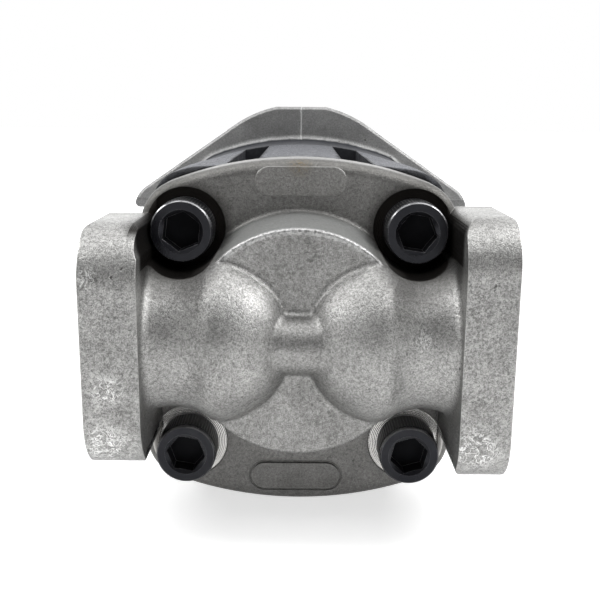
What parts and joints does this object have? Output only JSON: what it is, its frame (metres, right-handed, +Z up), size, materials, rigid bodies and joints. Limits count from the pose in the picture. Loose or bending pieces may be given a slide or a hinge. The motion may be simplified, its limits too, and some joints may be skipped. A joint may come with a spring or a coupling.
{
  "type": "hydraulic gear pump",
  "caption": "External gear pump with a keyed drive shaft, a flanged front cover with open bolt slots, and a rear cover whose domed channels lead to flanged side ports.",
  "frame": {"origin": "point where the drive shaft's axis meets the mounting face of the front cover", "axes": "+Y out along the drive shaft, away from the pump; +Z up, away from the driven gear; the inlet port faces +X and the outlet port faces -X"},
  "size_m": [0.2114, 0.3271, 0.1686],
  "materials": {
    "bare_casting": "shot blasted",
    "painted_casting": "painted, satin",
    "flange_casting": "shot blasted",
    "black_steel": "black oxide",
    "ground_steel": "ground",
    "block_alloy": "machined",
    "bush_bronze": "satin",
    "black_rubber": "matte",
    "white_plastic": "matte",
    "seal_steel": "pressed",
    "spring_steel": "spring steel"
  },
  "bodies": {
    "pump_body": {"rear_cover": "bare_casting", "gear_housing": "painted_casting", "front_cover": "flange_casting", "cover_bolts": "black_steel", "rear_bearing_block": "block_alloy", "front_bearing_block": "block_alloy", "rear_drive_bush": "bush_bronze", "rear_driven_bush": "bush_bronze", "front_drive_bush": "bush_bronze", "front_driven_bush": "bush_bronze", "rear_balance_seal": "black_rubber", "rear_balance_backup": "white_plastic", "front_balance_seal": "black_rubber", "front_balance_backup": "white_plastic", "rear_body_seal": "black_rubber", "front_body_seal": "black_rubber", "outer_seal_case": "seal_steel", "outer_seal_lip": "black_rubber", "outer_seal_spring": "spring_steel", "inner_seal_case": "seal_steel", "inner_seal_lip": "black_rubber", "inner_seal_spring": "spring_steel", "seal_retaining_ring": "spring_steel", "rear_dowel_pins": "ground_steel", "front_dowel_pins": "ground_steel"},
    "drive_shaft": {"drive_gear_shaft": "ground_steel", "shaft_key": "ground_steel"},
    "driven_shaft": {"driven_gear": "ground_steel"}
  },
  "joints": [
    {"name": "drive_spin", "type": "hinge", "parent": "pump_body", "child": "drive_shaft", "pos_m": [0, 0, 0], "axis": [0, 1, 0], "continuous": true},
    {"name": "driven_spin", "type": "hinge", "parent": "pump_body", "child": "driven_shaft", "pos_m": [0, 0, -0.045], "axis": [0, 1, 0], "continuous": true}
  ],
  "couplings": [
    {"joint": "driven_spin", "follows": "drive_spin", "ratio": -1}
  ]
}
